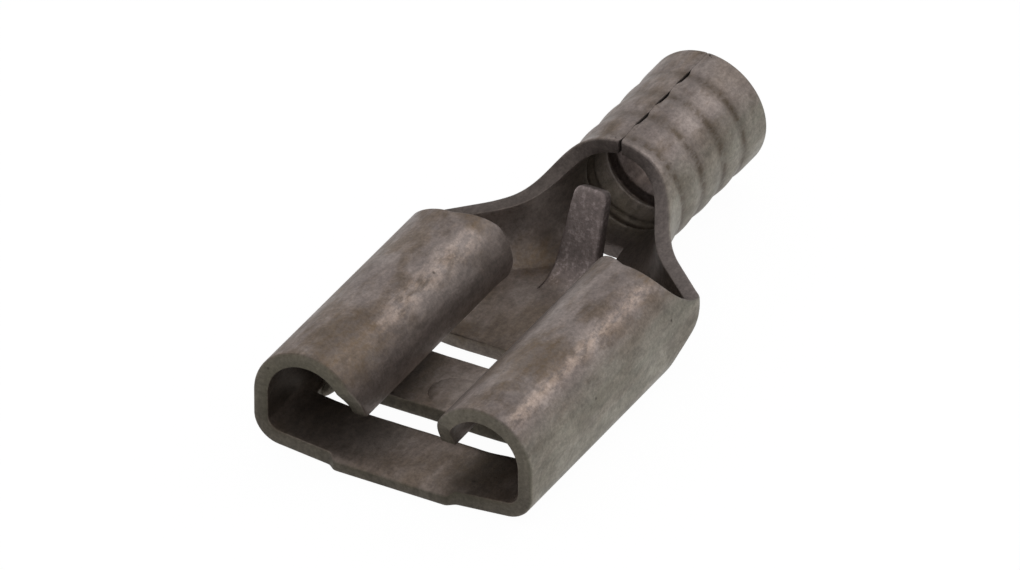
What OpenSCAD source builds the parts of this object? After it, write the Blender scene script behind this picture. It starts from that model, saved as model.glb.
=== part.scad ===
// Uninsulated female spade terminal, folded from one strip of plated sheet metal.
// X runs across the terminal, Y from the mouth towards the wire barrel, Z up.
// The origin is on the underside of the floor, in the middle of the mouth.

/* [Sheet] */
// Thickness of the strip
sheet_t = 0.4; // [0.32:0.01:0.46]

/* [Receptacle] */
// Overall width across the two rolls
body_w = 7.7; // [7:0.05:9.4]
// Overall height of the rolls
body_h = 2.98; // [2.9:0.02:3.6]
// Length of the straight channel behind the mouth
channel_l = 7.35; // [6.6:0.05:9]
// Outer radius of a roll's outer half
roll_r = 1.45; // [1.2:0.01:1.55]
// Outer radius of a roll's inner half, which turns down to the blade
curl_r = 1.36; // [1.1:0.01:1.45]
// Outer radius of the heel bend between floor and wall
heel_r = 0.75; // [0.6:0.01:0.9]
// Width of the floor that lies flat
flat_w = 3.4; // [2.6:0.1:4]
// Upward slope of the floor towards the heels, in degrees
side_slope = 5.7; // [0:0.1:8]
// Length of the straight free edge below a roll's inner half
edge_drop = 0.25; // [0.05:0.01:0.4]
// How far the free edge of a roll runs on behind the channel
roll_tail = 0.42; // [0.2:0.02:0.6]
// Corner radius at the rear of the free edge
tail_corner_r = 0.35; // [0.2:0.05:0.4]

/* [Mouth] */
// How far the cut-off lip stands out of the mouth
lip_out = 0.15; // [0.05:0.01:0.3]
// How far each slanted end of the lip runs out sideways
lip_slant = 0.2; // [0.1:0.05:0.5]
// Width of the cut-off lip at its front
lip_w = 3.1; // [2:0.1:4]
// Length of the coined lead-in on the lip
coin_l = 0.45; // [0.2:0.05:0.8]
// Depth of the coined lead-in at the lip's front edge
coin_d = 0.16; // [0.05:0.01:0.2]
// How far the free edge of a roll is cut back at the mouth
edge_back = 0.48; // [0.2:0.02:0.8]
// Height over which the free edge is cut back
edge_back_h = 0.97; // [0.5:0.01:1.2]

/* [Contact spring] */
// Distance from the mouth to the front slot
slot_y = 1.9; // [1.6:0.05:2.6]
// Length of the front slot
front_slot_l = 0.41; // [0.2:0.01:0.6]
// Length of the raised contact spring
spring_l = 2.15; // [1.6:0.05:2.6]
// Length of the rear slot
rear_slot_l = 1.45; // [0.6:0.05:1.8]
// Distance from the end of a slot to the outside of the wall
slot_edge = 0.6; // [0.5:0.05:1]
// Height that the spring stands above the floor
spring_rise = 0.44; // [0.2:0.01:0.6]
// Distance from the end of the spring's level top to the outside of the wall
ramp_edge = 1.05; // [1:0.05:1.5]
// Inner radius of the spring's ramps
ramp_r = 0.3; // [0.2:0.01:0.5]
// Place of the detent bump, as a share of the spring's length
detent_share = 0.45; // [0.3:0.01:0.7]
// Diameter of the detent bump on the spring
detent_d = 1.3; // [1:0.05:1.8]
// Height of the detent bump
detent_h = 0.1; // [0.05:0.01:0.2]

/* [Stop tab] */
// Distance from the rear of the channel to the root of the stop tab
tab_lead = 1.27; // [1:0.01:1.6]
// Sideways offset of the stop tab
tab_x = -0.21; // [-0.3:0.01:0.3]
// Width of the stop tab at its tip
tab_w = 0.88; // [0.6:0.01:1.2]
// Growth of the tab's width on each side for each millimetre of height
tab_taper = 0.06; // [0:0.01:0.12]
// Height of the tab's tip above the floor's underside
tab_h = 2.6; // [1.8:0.02:2.7]
// Radius of the two corners at the tab's tip
tab_tip_r = 0.15; // [0.1:0.01:0.3]
// Angle of the tab from the floor, in degrees
tab_angle = 67; // [50:1:80]
// Inner radius of the tab's bend
tab_bend_r = 1; // [0.6:0.05:1.2]
// Length of the window that the tab leaves in the floor
tab_window_l = 2.4; // [2:0.05:2.6]
// Clearance between the tab and the sides of its window
tab_gap = 0.1; // [0.01:0.01:0.15]

/* [Neck] */
// Length over which the heels soften before the shoulders
heel_lead = 0.82; // [0.6:0.01:1]
// Length over which the heel bends open to the barrel's radius
heel_soft_l = 1.5; // [1.2:0.1:3]
// How far each shoulder stands out beyond the rolls
shoulder_out = 0.05; // [0:0.01:0.1]
// Outer radius of the shoulders in plan
shoulder_r = 0.5; // [0.45:0.01:0.8]
// Angle of the flanks from the terminal's axis, in degrees
flank_angle = 50; // [40:1:55]
// Radius of the neck in plan
neck_r = 3.1; // [2:0.1:4]
// Height of the cut edge above the rolls' centres, at the lowest point of its scoop
edge_rise = 0.26; // [0.2:0.01:0.4]
// Slope of the cut edge along the flanks
edge_slope = 0.13; // [0:0.01:0.15]
// Radius of the scoop in the cut edge behind the rolls
scoop_r = 1.48; // [1:0.01:1.8]
// Radius of the cut edge that climbs to the barrel's seam
climb_r = 1.45; // [1.3:0.01:2]
// How far the seam reaches forward of the straight barrel
seam_lead = 0.46; // [0.2:0.02:0.6]

/* [Wire barrel] */
// Clear bore of the wire barrel
bore_d = 2.5; // [2:0.01:2.6]
// Height of the barrel's axis
barrel_z = 1.8; // [1.6:0.01:2]
// Length of the closed barrel
barrel_l = 4.07; // [3.5:0.01:5]
// Width of the butt seam
seam_w = 0.08; // [0.04:0.01:0.2]
// Number of serrations pressed into the bore
serrations = 3; // [1:1:3]
// Distance from the neck to the first serration
serration_y = 0.35; // [0.3:0.01:0.5]
// Distance between serrations
serration_pitch = 1.05; // [0.8:0.05:1.1]
// Depth of a serration
serration_d = 0.12; // [0.05:0.01:0.15]
// Radius of a serration's groove
groove_r = 0.22; // [0.16:0.01:0.3]
// Depth of the waves that the serrations leave outside
wave_d = 0.035; // [0.02:0.005:0.05]
// Length of full-size barrel between two waves
crest_l = 0.16; // [0.1:0.02:0.3]
// Lead-in chamfer at the wire end
wire_chamfer = 0.12; // [0.05:0.01:0.2]
// Chamfer on the outside of the wire end
outer_chamfer = 0.06; // [0.02:0.01:0.1]

/* [Hidden] */
$fn = 96;

half_w = body_w / 2;
roll_x = half_w - roll_r;
roll_z = body_h - roll_r;
curl_x = roll_x - curl_r;
curl_z = body_h - curl_r;
free_z = curl_z - edge_drop;
heel_x = half_w - heel_r;
bore_r = bore_d / 2;
barrel_r = bore_r + sheet_t;
floor_share = (flat_w / 2) / heel_x;
tab_y = channel_l + tab_lead;
barrel_bottom = barrel_z - barrel_r;
overlap = 0.01;
// How far cutting shapes run past what they cut
clear = 1;
reach = 2 * body_h;
// Depth and length by which the neck's skin sinks into the channel's and the barrel's ends
weld_d = 0.01;
weld_l = 0.05;

// Plan of the neck: shoulder arc, straight flank, neck arc, then the barrel
shoulder_y = channel_l + heel_lead;
shoulder_x = half_w + shoulder_out;
shoulder_end = shoulder_y + shoulder_r * sin(flank_angle);
shoulder_in = shoulder_r * (1 - cos(flank_angle));
neck_in = neck_r * (1 - cos(flank_angle));
flank_in = shoulder_x - barrel_r - shoulder_in - neck_in;
flank_end = shoulder_end + flank_in / tan(flank_angle);
barrel_y = flank_end + neck_r * sin(flank_angle);
barrel_end = barrel_y + barrel_l;

// Side view of the cut edge: scoop, rising flank, climb to the seam
scoop_y = shoulder_y + shoulder_r;
edge_z = roll_z + edge_rise;
seam_y = barrel_y - seam_lead;
seam_z = barrel_z + barrel_r;
climb_h = seam_z - edge_z - edge_slope * (seam_y - scoop_y);
climb_y = seam_y - sqrt(pow(climb_r, 2) - pow(climb_r - climb_h, 2));

// Contact spring
slot_w = body_w - 2 * slot_edge;
spring_top_w = body_w - 2 * ramp_edge;
spring_y = slot_y + front_slot_l;
slots_end = spring_y + spring_l + rear_slot_l;
ramp_mid = ramp_r + sheet_t / 2;
spring_foot = (heel_x - flat_w / 2) * tan(side_slope);
ramp_angle = acos(1 - (spring_rise - spring_foot) / (2 * ramp_mid));
// Length that carries the foot of each ramp into the heel
foot_l = ramp_r / 2;

function smooth(t) = let (c = min(1, max(0, t))) c * c * (3 - 2 * c);
function blend(y) = smooth((y - channel_l) / (barrel_y - channel_l));
function mix(a, b, t) = a + (b - a) * t;

// Outer half width of the neck at a station
function width_at(y) =
    y <= shoulder_y ? half_w + shoulder_out * smooth((y - channel_l) / heel_lead) :
    y <= shoulder_end ? shoulder_x - dip(shoulder_r, y - shoulder_y) :
    y <= flank_end ? shoulder_x - shoulder_in - (y - shoulder_end) * tan(flank_angle) :
    y <= barrel_y ? barrel_r + dip(neck_r, barrel_y - y) :
    barrel_r;

// Height of the sheet's cut edge at a station
function edge_at(y) =
    y <= scoop_y ? edge_z + dip(scoop_r, scoop_y - y) :
    y < seam_y ? edge_z + edge_slope * (y - scoop_y) + dip(climb_r, max(0, y - climb_y)) :
    seam_z;
function dip(r, x) = r - sqrt(max(0, pow(r, 2) - pow(x, 2)));

// Lengths of the pieces of the half section at a station:
// [level floor, sloped floor, heel, wall, closing arc] with the values that place them
function pieces(y) = let (
        s = blend(y),
        w = width_at(y),
        bottom = barrel_bottom * smooth((y - tab_y) / (barrel_y - tab_y)),
        r = mix(heel_r, barrel_r, smooth((y - channel_l) / heel_soft_l)),
        slope = side_slope * (1 - s),
        level = (w - r) * floor_share,
        sloped = (w - r + r * sin(slope) - level) / cos(slope),
        heel_z = bottom + sloped * sin(slope) + r * cos(slope),
        top_r = mix(roll_r, barrel_r, s),
        top_z = max(heel_z, mix(roll_z, barrel_z, s)),
        rise = min(1, (edge_at(max(y, channel_l)) - weld_d - top_z) / top_r),
        closed = acos(min(1, max(0, (seam_w / 2 + weld_d - w + top_r) / top_r))),
        turn = min(asin(rise), closed))
    [level, sloped, r * (90 - slope) * PI / 180, top_z - heel_z, top_r * turn * PI / 180,
     w, r, slope, bottom, heel_z, top_r, top_z];

// Point and outward direction on the half section, at a share of its length
function half_point(y, share) = let (
        p = pieces(y),
        s = share * (p[0] + p[1] + p[2] + p[3] + p[4]),
        s1 = s - p[0],
        s2 = s1 - p[1],
        s3 = s2 - p[2],
        s4 = s3 - p[3],
        w = p[5],
        r = p[6],
        slope = p[7],
        bottom = p[8],
        heel_z = p[9],
        top_r = p[10],
        top_z = p[11])
    s1 <= 0 ? [s, bottom, -90] :
    s2 <= 0 ? [p[0] + s1 * cos(slope), bottom + s1 * sin(slope), slope - 90] :
    s3 <= 0 ? let (a = slope - 90 + s2 / r * 180 / PI) [w - r + r * cos(a), heel_z + r * sin(a), a] :
    s4 <= 0 ? [w, heel_z + s3, 0] :
    let (a = s4 / top_r * 180 / PI) [w - top_r + top_r * cos(a), top_z + top_r * sin(a), a];

// Outer and inner skin of the neck at a station: share runs from -1 at one edge to 1 at the other
function skin(y, share, depth) = let (
        side = share < 0 ? -1 : 1,
        p = half_point(y, abs(share)),
        step = 0.002,
        a = half_point(y - step, abs(share)),
        b = half_point(y + step, abs(share)),
        lean = ((b[0] - a[0]) * cos(p[2]) + (b[1] - a[1]) * sin(p[2])) / (2 * step),
        n = [cos(p[2]), -lean, sin(p[2])] / norm([1, lean]))
    [side * (p[0] - depth * n[0]), y - depth * n[1], p[1] - depth * n[2]];

// Values in rising order, without near repeats
function sorted(v) = len(v) < 2 ? v : concat(
    sorted([for (x = v) if (x < v[0] - 0.02) x]), [v[0]], sorted([for (x = v) if (x > v[0] + 0.02) x]));

module extrude_y(from, to) {
    translate([0, to, 0]) rotate([90, 0, 0]) linear_extrude(height = to - from) children();
}

module extrude_x(width) {
    rotate([90, 0, 90]) linear_extrude(height = width, center = true) children();
}

module both_sides() {
    children();
    mirror([1, 0, 0]) children();
}

// Filled outline of the channel, moved inwards by a depth
module channel_fill(depth) {
    slope_up = (heel_x - flat_w / 2 + heel_r * sin(side_slope)) / cos(side_slope);
    heel_z = slope_up * sin(side_slope) + heel_r * cos(side_slope);
    bend = depth * tan(side_slope / 2);
    both_sides() {
        intersection() {
            translate([roll_x, roll_z]) circle(roll_r - depth);
            translate([roll_x - overlap, 0]) square(reach);
        }
        intersection() {
            translate([roll_x, curl_z]) circle(curl_r - depth);
            translate([-reach, 0]) square([reach + roll_x, reach]);
        }
        translate([heel_x, heel_z]) circle(heel_r - depth);
        polygon([[-overlap, depth], [flat_w / 2 - bend, depth],
                 [heel_x + (heel_r - depth) * sin(side_slope),
                  heel_z - (heel_r - depth) * cos(side_slope)],
                 [heel_x, heel_z], [half_w - depth, heel_z], [half_w - depth, roll_z],
                 [roll_x, roll_z], [roll_x, curl_z], [curl_x + depth, curl_z],
                 [curl_x + depth, free_z], [-overlap, free_z]]);
    }
}

module channel_section() {
    under_h = free_z - sheet_t - heel_r;
    difference() {
        channel_fill(0);
        channel_fill(sheet_t);
        translate([-curl_x, sheet_t]) square([2 * curl_x, reach]);
        translate([-roll_x, sheet_t + heel_r]) square([2 * roll_x, under_h]);
    }
}

// Lip left where the strip was cut from its carrier, with slanted ends
module lip() {
    linear_extrude(height = sheet_t)
        polygon([[-lip_w / 2 - lip_slant, 0], [-lip_w / 2, -lip_out], [lip_w / 2, -lip_out],
                 [lip_w / 2 + lip_slant, 0]]);
}

// Wedge pressed off the top of the lip and floor to lead the blade in
module coined_edge() {
    front = -lip_out - overlap;
    extrude_x(flat_w)
        polygon([[front, sheet_t - coin_d], [front, 2 * sheet_t], [coin_l - lip_out, 2 * sheet_t],
                 [coin_l - lip_out, sheet_t]]);
}

// Cut that leads each roll's free edge back from the mouth
module edge_lead() {
    extrude_x(2 * (curl_x + 2 * sheet_t))
        polygon([[-reach, free_z - sheet_t], [edge_back + overlap, free_z - sheet_t],
                 [edge_back, free_z], [0, free_z + edge_back_h], [-reach, free_z + edge_back_h]]);
}

// Scoop behind the rolls, seen from the side
module scoop_profile() {
    translate([scoop_y, edge_z + scoop_r]) circle(scoop_r);
    translate([scoop_y - scoop_r, edge_z + scoop_r]) square([2 * scoop_r, reach]);
}

// Room behind the rolls, seen from above: the free edges stay a little longer
module roll_rear() {
    waist_y = scoop_y - scoop_r;
    tail_y = channel_l + roll_tail;
    tail_x = curl_x + sheet_t;
    linear_extrude(height = reach) both_sides()
        polygon([[0, tail_y], [tail_x, tail_y], [roll_x, waist_y], [roll_x, tail_y + clear],
                 [0, tail_y + clear]]);
}

// Rounded rear corner of the free edges, seen from the side
module tail_corner() {
    center_y = channel_l + roll_tail - tail_corner_r;
    extrude_x(2 * (curl_x + sheet_t)) difference() {
        translate([center_y, free_z - overlap]) square(tail_corner_r + clear);
        translate([center_y, free_z + tail_corner_r]) circle(tail_corner_r);
        translate([center_y - clear, free_z + tail_corner_r])
            square([clear + tail_corner_r, reach]);
    }
}

// Channel with its rolls; behind it only the rolls' inner halves run on
module receptacle() {
    tail_l = roll_tail + overlap;
    difference() {
        extrude_y(0, channel_l + tail_l) channel_section();
        translate([-half_w, channel_l, -clear])
            cube([body_w, tail_l + clear, clear + sheet_t + heel_r]);
        both_sides() translate([roll_x, channel_l, 0])
            cube([roll_r + clear, tail_l + clear, reach]);
        edge_lead();
        translate([-slot_w / 2, slot_y, -sheet_t]) cube([slot_w, slots_end - slot_y, 3 * sheet_t]);
        difference() {
            extrude_x(body_w + clear) scoop_profile();
            translate([-roll_x, 0, 0]) cube([2 * roll_x, scoop_y, reach]);
        }
        roll_rear();
        tail_corner();
    }
}

// Room below the spring's sheet, moved up by a depth and let out by a margin
module spring_fill(depth, margin) {
    crest_x = spring_top_w / 2;
    crest_z = spring_rise - ramp_r;
    foot_x = crest_x + 2 * ramp_mid * sin(ramp_angle);
    foot_z = crest_z + 2 * ramp_mid * cos(ramp_angle);
    foot_end = foot_x + foot_l + margin;
    both_sides() difference() {
        union() {
            translate([-overlap, -margin]) square([crest_x + overlap, spring_rise + depth + margin]);
            translate([crest_x, crest_z]) circle(ramp_r + depth);
            polygon([[0, -margin], [crest_x, crest_z], [foot_x, foot_z], [foot_end, foot_z],
                     [foot_end, -margin]]);
        }
        translate([foot_x, foot_z]) circle(ramp_r + sheet_t - depth);
    }
}

// Raised strip between the slots, springing from both heels
module spring_band() {
    difference() {
        spring_fill(sheet_t, 0);
        spring_fill(0, reach);
    }
}

module contact_spring() {
    dome_r = (pow(detent_d / 2, 2) + pow(detent_h, 2)) / (2 * detent_h);
    detent_y = spring_y + detent_share * spring_l;
    difference() {
        union() {
            extrude_y(spring_y, spring_y + spring_l) intersection() {
                spring_band();
                channel_fill(sheet_t / 2);
            }
            translate([0, detent_y, spring_rise + sheet_t]) dome(detent_d / 2, detent_h, dome_r);
        }
        translate([0, detent_y, spring_rise]) dome(detent_d / 2, detent_h, dome_r);
    }
}

module dome(r, h, big_r) {
    rotate_extrude() intersection() {
        translate([0, h - big_r]) circle(big_r, $fn = 200);
        translate([0, -overlap]) square([r, h + 2 * overlap]);
    }
}

// Flanks and neck: one skin that closes from the open channel into the barrel
module neck() {
    half_n = 16;
    shares = [for (i = [-half_n : half_n]) i / half_n];
    climb_turn = asin((seam_y - climb_y) / climb_r);
    stations = sorted(concat(
        [channel_l - weld_l, barrel_y + weld_l],
        [for (i = [0 : 16]) mix(channel_l, barrel_y, i / 16)],
        [for (i = [0 : 4]) shoulder_y + shoulder_r * sin(flank_angle * i / 4)],
        [for (i = [1 : 10]) climb_y + climb_r * sin(climb_turn * i / 10)]));
    rows = len(stations);
    cols = len(shares);
    skins = concat([for (y = stations, s = shares) skin(y, s, weld_d)],
                   [for (y = stations, s = shares) skin(y, s, sheet_t - weld_d)]);
    inner = rows * cols;
    last = (rows - 1) * cols;
    faces = concat(
        [for (j = [0 : rows - 2], i = [0 : cols - 2]) let (k = j * cols + i)
            [k, k + 1, k + cols + 1, k + cols]],
        [for (j = [0 : rows - 2], i = [0 : cols - 2]) let (k = inner + j * cols + i)
            [k, k + cols, k + cols + 1, k + 1]],
        [for (i = [0 : cols - 2]) [i, inner + i, inner + i + 1, i + 1]],
        [for (i = [0 : cols - 2]) let (k = last + i) [k, k + 1, inner + k + 1, inner + k]],
        [for (j = [0 : rows - 2]) let (k = j * cols) [k, k + cols, inner + k + cols, inner + k]],
        [for (j = [0 : rows - 2]) let (k = j * cols + cols - 1)
            [k, inner + k, inner + k + cols, k + cols]]);
    polyhedron(skins, faces, convexity = 10);
}

// Side view of the tab, filled from its bend's centre out to its rear face, less a depth
module tab_fill(depth, along, across) {
    r = tab_bend_r + sheet_t - depth;
    circle(r);
    polygon([[0, 0], r * across, r * across + reach * along, reach * along]);
}

// Tongue lanced from the floor and bent up against the inserted blade
module stop_tab() {
    along = [cos(tab_angle), sin(tab_angle)];
    across = [sin(tab_angle), -cos(tab_angle)];
    bend_z = sheet_t + tab_bend_r;
    foot_w = tab_w + 2 * tab_taper * tab_h;
    intersection() {
        extrude_x(body_w) translate([tab_y, bend_z]) intersection() {
            difference() {
                tab_fill(0, along, across);
                tab_fill(sheet_t, along, across);
            }
            polygon([[0, 0], [0, -bend_z - clear], [reach, -bend_z - clear], [reach, reach],
                     reach * along]);
        }
        extrude_y(tab_y - clear, barrel_end) translate([tab_x, 0]) union() {
            polygon([[-foot_w / 2, -clear], [foot_w / 2, -clear], [foot_w / 2, 0],
                     [tab_w / 2, tab_h - tab_tip_r],
                     [tab_w / 2 - tab_tip_r, tab_h], [tab_tip_r - tab_w / 2, tab_h],
                     [-tab_w / 2, tab_h - tab_tip_r], [-foot_w / 2, 0]]);
            both_sides() translate([tab_w / 2 - tab_tip_r, tab_h - tab_tip_r]) circle(tab_tip_r);
        }
    }
}

// Window that the tab leaves in the floor, as tapered as the tab itself
module tab_window() {
    tip = tab_w / 2 + tab_gap;
    foot = tip + tab_taper * tab_h;
    far_y = tab_y + tab_window_l;
    translate([tab_x, 0, -clear]) linear_extrude(height = clear + barrel_z)
        polygon([[-foot, tab_y], [foot, tab_y], [tip, far_y], [-tip, far_y]]);
}

// Closed barrel: bore with pressed serrations and the waves that they leave outside
module barrel() {
    wave_chord = (serration_pitch - crest_l) / 2;
    wave_r = (pow(wave_chord, 2) + pow(wave_d, 2)) / (2 * wave_d);
    translate([0, barrel_y, barrel_z]) difference() {
        rotate([-90, 0, 0]) rotate_extrude() difference() {
            polygon([[bore_r, 0], [barrel_r, 0], [barrel_r, barrel_l - outer_chamfer],
                     [barrel_r - outer_chamfer, barrel_l], [bore_r + wire_chamfer, barrel_l],
                     [bore_r, barrel_l - wire_chamfer]]);
            for (i = [0 : serrations - 1]) {
                mark = serration_y + i * serration_pitch;
                translate([bore_r + serration_d - groove_r, mark]) circle(groove_r);
                translate([barrel_r - wave_d + wave_r, mark + serration_pitch / 2])
                    circle(wave_r, $fn = 200);
            }
        }
        translate([-seam_w / 2, -overlap, 0]) cube([seam_w, barrel_l + clear, reach]);
    }
}

module terminal() {
    color([0.46, 0.43, 0.41]) {
        difference() {
            union() {
                receptacle();
                lip();
            }
            coined_edge();
        }
        contact_spring();
        difference() {
            neck();
            tab_window();
        }
        stop_tab();
        barrel();
    }
}

terminal();
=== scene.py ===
"""Looks of the female spade terminal: one strip of plated sheet, cut, edged and folded.

Sizes are in millimetres until a mesh is made. The strip is laid out flat by s, the distance
along the section from its middle, and y, the distance from the mouth.
"""

import math

import bpy
import numpy as np
from mathutils import Matrix, Vector
from mathutils.geometry import delaunay_2d_cdt


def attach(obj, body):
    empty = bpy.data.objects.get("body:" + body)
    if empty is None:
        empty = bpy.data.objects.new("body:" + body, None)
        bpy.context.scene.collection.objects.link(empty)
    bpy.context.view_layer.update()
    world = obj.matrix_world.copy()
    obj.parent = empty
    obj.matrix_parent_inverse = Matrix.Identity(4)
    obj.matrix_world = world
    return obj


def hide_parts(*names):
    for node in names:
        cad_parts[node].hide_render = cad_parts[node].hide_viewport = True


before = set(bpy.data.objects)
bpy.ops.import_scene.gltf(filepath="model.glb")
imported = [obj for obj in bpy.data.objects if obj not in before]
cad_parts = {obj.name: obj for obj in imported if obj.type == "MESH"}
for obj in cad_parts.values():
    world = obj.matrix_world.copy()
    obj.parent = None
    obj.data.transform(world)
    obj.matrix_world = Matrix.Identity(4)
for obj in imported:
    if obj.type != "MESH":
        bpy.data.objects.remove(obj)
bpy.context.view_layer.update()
MM = 0.001

# ---------------------------------------------------------------- sizes of the folded strip

SHEET = 0.4
HALF_W = 3.85
BODY_H = 2.98
CHANNEL = 7.35
ROLL_R = 1.45
# The free edges hang at the height that a curl of CURL_R gives; the rolls themselves differ a little.
CURL_R = 1.36
CURL_LEFT = 1.43
CURL_RIGHT = 1.32
HEEL_R = 0.75
FLAT_HALF = 1.7
FLOOR_TOP = 1.0
FLOOR_REACH = 4.5
SIDE_SLOPE = math.radians(5.7)
LEG_DROP = 0.25

# The lip, the lead-in of the rolls and their cut-back tails.
LIP_OUT = 0.15
LIP_HALF = 1.55
LIP_SLANT = 0.2
COIN_L = 0.45
COIN_D = 0.12
COIN_FADE = 0.2
LEAD_BACK = 0.48
LEAD_H = 0.97
TAIL = 0.42
TAIL_CORNER = 0.35

# The contact spring between its slots, and the detent bump on it.
SLOT_Y = 1.9
FRONT_SLOT = 0.41
SPRING_L = 2.15
REAR_SLOT = 1.45
SLOT_HALF = 3.25
SPRING_RISE = 0.44
SPRING_TOP = 2.8
DETENT_SHARE = 0.37
DETENT_R = 0.65
DETENT_H = 0.06
DETENT_REACH = 1.1
DETENT_FADE = 0.3

# The stop tab and the window that it is lanced out of.
TAB_Y = CHANNEL + 1.27
TAB_X = -0.21
TAB_HALF = 0.44
TAB_TAPER = 0.06
TAB_H = 2.6
TAB_TIP = 0.2
TAB_TIP_SPARE = 0.01
TAB_TURN = math.radians(67)
TAB_BEND = 1.0
TAB_BLEND = 0.5
WINDOW_L = 2.43
TAB_GAP = 0.1
ROOT_GAP = 0.008

# The shoulders, the neck and the cut edge that climbs to the seam.
SHOULDER_LEAD = 0.82
SHOULDER_OUT = 0.04
SHOULDER_R = 0.5
FLANK = math.radians(50)
NECK_R = 3.1
SOFT_Y = 6.9
SOFT_L = 1.95
EDGE_RISE = 0.26
EDGE_SLOPE = 0.13
SCOOP_R = 1.48
SCOOP_SPARE = 0.002
CLIMB_R = 1.45
SEAM_LEAD = 0.46

# The wire barrel, its seam and its serrations.
BORE_R = 1.25
BARREL_Z = 1.8
BARREL_L = 4.07
SEAM_HALF = 0.034
SEAM_SHUT = 0.04
RINGS = 3
RING_PITCH = 1.05
FIRST_RING = 0.35
RING_R = 0.17
RING_D = 0.12
WAVE_D = 0.035

# Where the seam gapes: how far behind each ring, over which stretch, and how softly.
GAPE_LAG = RING_PITCH / 3
GAPE_FROM = -0.25
GAPE_TO = 3.0
GAPE_FADE = 0.2
GAPE_LEVEL = 0.12
GAPE_RISE = 0.6

# Worked out from the sizes above.
ROLL_X = HALF_W - ROLL_R
ROLL_Z = BODY_H - ROLL_R
FREE_Z = BODY_H - CURL_R - LEG_DROP
FLOOR_SHARE = FLAT_HALF / (HALF_W - HEEL_R)
BARREL_R = BORE_R + SHEET
BARREL_BOTTOM = BARREL_Z - BARREL_R

SHOULDER_Y = CHANNEL + SHOULDER_LEAD
SHOULDER_X = HALF_W + SHOULDER_OUT
SHOULDER_END = SHOULDER_Y + SHOULDER_R * math.sin(FLANK)
SHOULDER_IN = SHOULDER_R * (1 - math.cos(FLANK))
NECK_IN = NECK_R * (1 - math.cos(FLANK))
FLANK_END = SHOULDER_END + (SHOULDER_X - BARREL_R - SHOULDER_IN - NECK_IN) / math.tan(FLANK)
BARREL_Y = FLANK_END + NECK_R * math.sin(FLANK)
BARREL_END = BARREL_Y + BARREL_L

EDGE_Z = ROLL_Z + EDGE_RISE
SCOOP_Y = SHOULDER_Y + SHOULDER_R
SEAM_Y = BARREL_Y - SEAM_LEAD
SEAM_Z = BARREL_Z + BARREL_R
CLIMB_H = SEAM_Z - EDGE_Z - EDGE_SLOPE * (SEAM_Y - SCOOP_Y)
CLIMB_Y = SEAM_Y - math.sqrt(CLIMB_R**2 - (CLIMB_R - CLIMB_H) ** 2)

SPRING_Y = SLOT_Y + FRONT_SLOT
SPRING_END = SPRING_Y + SPRING_L
SLOTS_END = SPRING_END + REAR_SLOT
DETENT_Y = SPRING_Y + DETENT_SHARE * SPRING_L
TAB_FAR = WINDOW_L - TAB_GAP

# How gently the floor bends up beside its flat middle: tight at the spring, wide behind it.
FLOOR_EASE = 0.12
EASE_MORE = 0.7
EASE_Y = SLOTS_END - 0.3
EASE_L = 1.2

# How the cut edges are rounded, and how far in the mesh follows them.
OUTER_EDGE = 0.05
INNER_EDGE = 0.035
EDGE_BAND = 0.16
EDGE_TURNS = np.radians([0, 30, 60, 90])
WALL_SHARES = (1 / 3, 2 / 3)

# Corners of the blank's outline, of its slots and of the tab, and its unevenness: size and rate.
OUTLINE_CORNER = 0.035
SLOT_CORNER = 0.06
TAB_CORNER = 0.006
CUT_WAVES = ((0.0042, 2.3), (0.0028, 5.9), (0.0014, 13.7))
CUT_SLANT = 0.83


# ---------------------------------------------------------------- how the strip is folded


def smooth(t):
    """Soft step from 0 to 1."""
    t = np.clip(t, 0.0, 1.0)
    return t * t * (3 - 2 * t)


def dip(r, x):
    """How far a circle has fallen away from its tangent at a distance x."""
    return r - np.sqrt(np.maximum(0.0, r * r - x * x))


def half_width(y):
    """Outer half width of the terminal at a station."""
    return np.select(
        [y <= SHOULDER_Y, y <= SHOULDER_END, y <= FLANK_END, y <= BARREL_Y],
        [
            HALF_W + SHOULDER_OUT * smooth((y - CHANNEL) / SHOULDER_LEAD),
            SHOULDER_X - dip(SHOULDER_R, y - SHOULDER_Y),
            SHOULDER_X - SHOULDER_IN - (y - SHOULDER_END) * math.tan(FLANK),
            BARREL_R + dip(NECK_R, BARREL_Y - y),
        ],
        BARREL_R,
    )


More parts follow.
